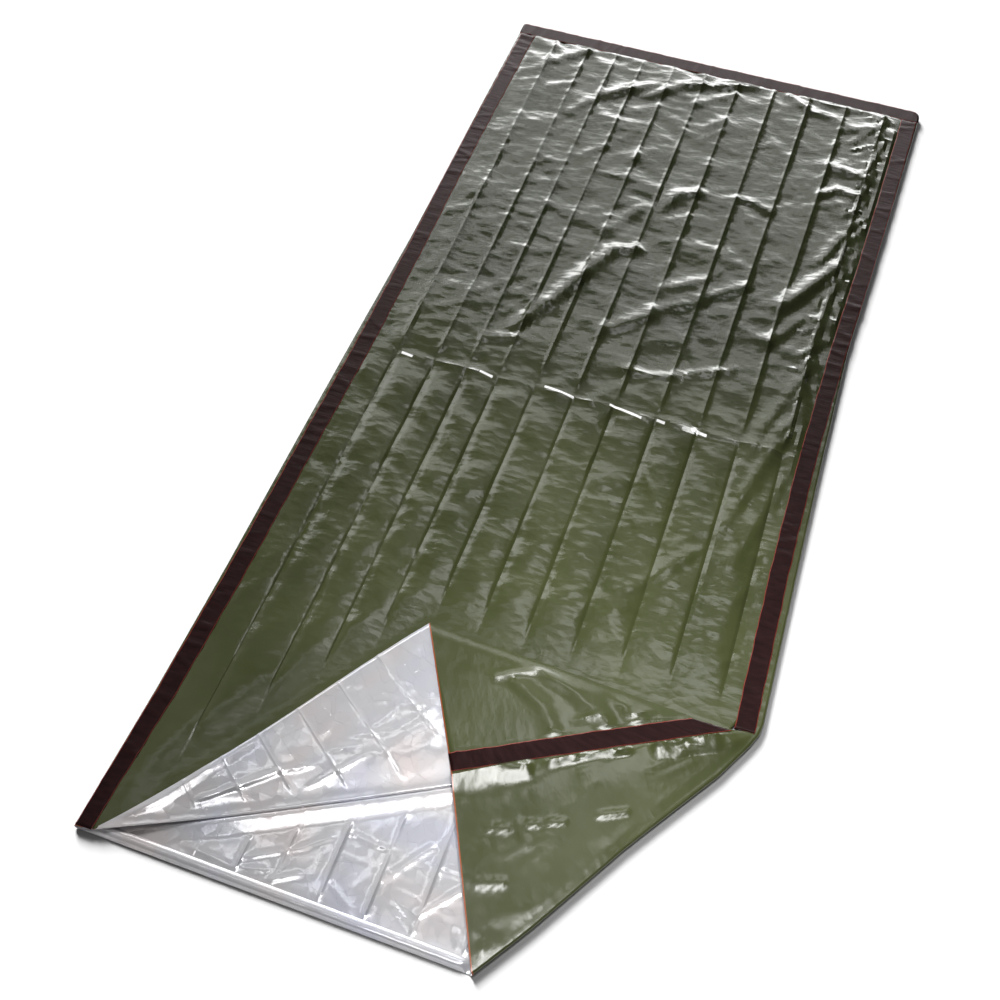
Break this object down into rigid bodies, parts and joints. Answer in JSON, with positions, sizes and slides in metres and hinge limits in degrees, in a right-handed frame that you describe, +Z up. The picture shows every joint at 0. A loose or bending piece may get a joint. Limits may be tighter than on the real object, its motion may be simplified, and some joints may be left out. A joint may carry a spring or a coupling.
{
  "type": "emergency sleeping bag",
  "caption": "Flat emergency sleeping bag of olive film, silver inside, taped along its sides and foot, with one mouth corner folded back.",
  "frame": {"origin": "on the surface the bag lies on, under the middle of its box", "axes": "+Y from the open mouth to the foot, +X to the right seen from above with the mouth near, +Z up"},
  "size_m": [0.9198, 2.129, 0.0231],
  "materials": {
    "olive_film": "glossy olive film with a metallised silver inner face",
    "brown_tape": "smooth dark brown adhesive tape"
  },
  "bodies": {
    "root": {"lower_panel": "olive_film", "upper_panel": "olive_film", "left_tape": "brown_tape", "right_tape": "brown_tape", "turned_tape": "brown_tape", "foot_tape": "brown_tape"}
  },
  "joints": []
}
